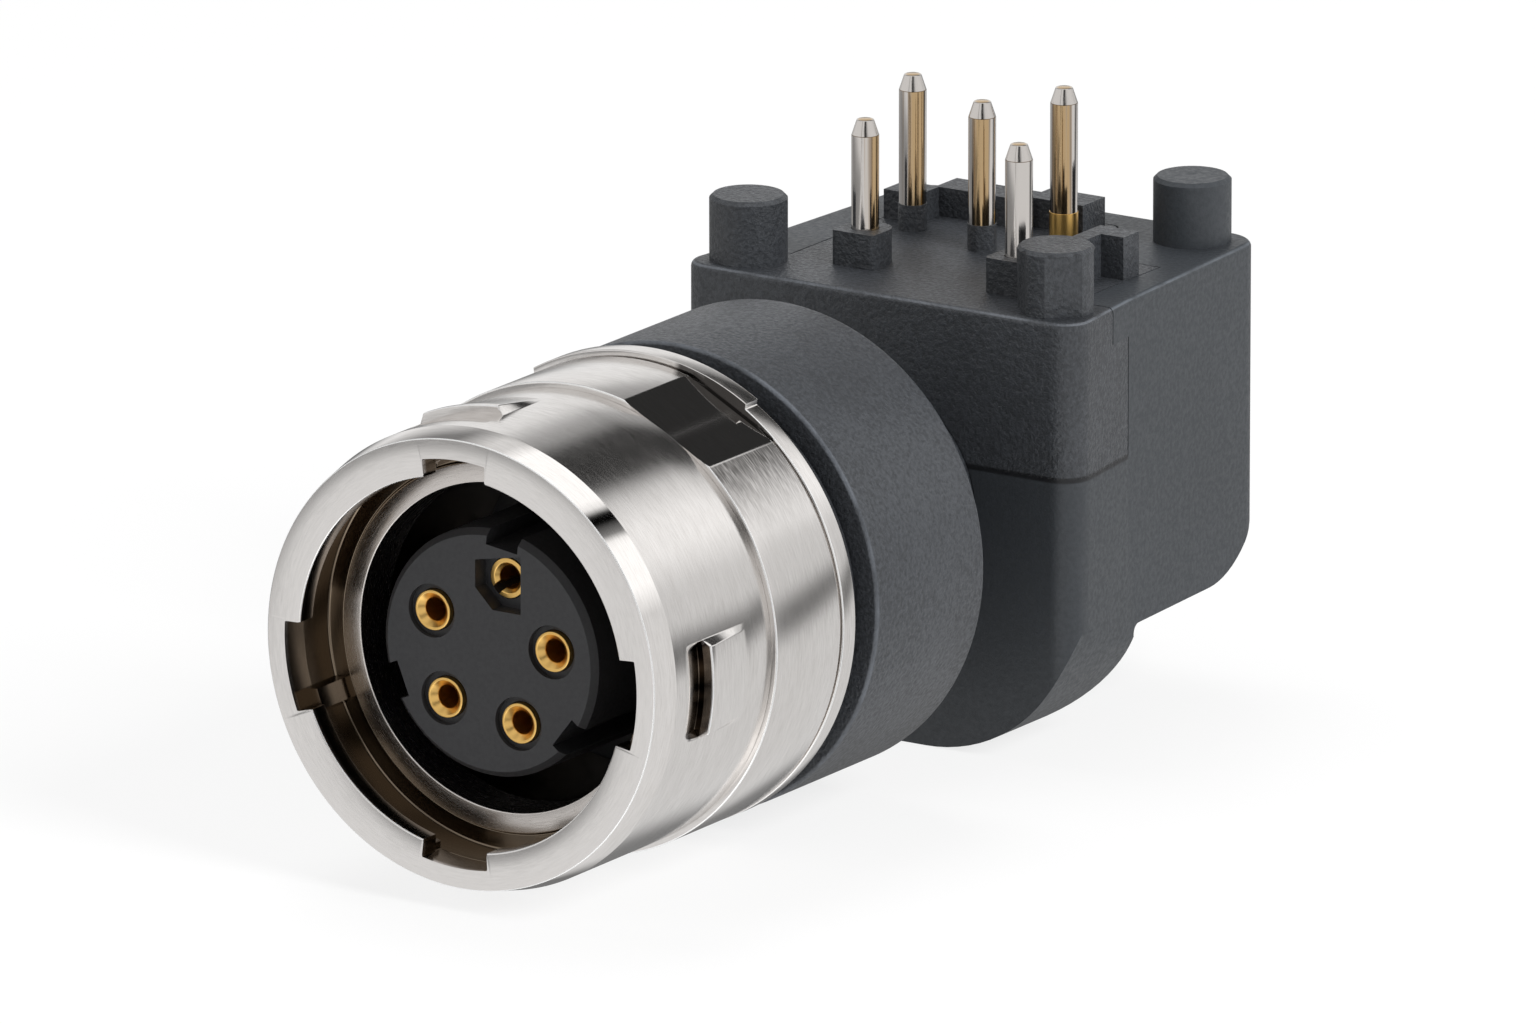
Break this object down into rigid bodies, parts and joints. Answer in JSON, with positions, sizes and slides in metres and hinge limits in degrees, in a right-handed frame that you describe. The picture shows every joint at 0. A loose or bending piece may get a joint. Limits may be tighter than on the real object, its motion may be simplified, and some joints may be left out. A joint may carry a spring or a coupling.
{
  "type": "right-angle pcb socket",
  "caption": "Right-angle circular socket for a circuit board: metal bayonet coupling ring, keyed insert with socket contacts, plastic neck and housing, pins and pegs up.",
  "frame": {"origin": "on the coupling axis, in the plane of the mating face", "axes": "-Y out of the mating face along the coupling axis, +Z along the solder pins towards the board, +X to the right seen from the mating side"},
  "size_m": [0.019, 0.0453, 0.0245],
  "materials": {
    "plated_metal": "satin",
    "turned_metal": "turned",
    "contact_gold": "polished",
    "pin_silver": "polished",
    "seal_rubber": "matte",
    "insert_plastic": "fine",
    "collar_plastic": "fine",
    "housing_plastic": "textured",
    "cap_plastic": "coarsely textured"
  },
  "bodies": {
    "root": {"front_sleeve": "plated_metal", "rear_ring": "plated_metal", "clamp_ring": "turned_metal", "inner_seal": "seal_rubber", "gasket": "seal_rubber", "insert": "insert_plastic", "rear_insulator": "insert_plastic", "collar": "collar_plastic", "housing": "housing_plastic", "cap": "cap_plastic", "contact_a": "contact_gold", "contact_b": "contact_gold", "contact_c": "contact_gold", "contact_d": "contact_gold", "contact_e": "contact_gold", "solder_pin_1": "pin_silver", "solder_pin_2": "pin_silver", "solder_pin_3": "pin_silver", "solder_pin_4": "pin_silver", "solder_pin_5": "pin_silver"}
  },
  "joints": []
}
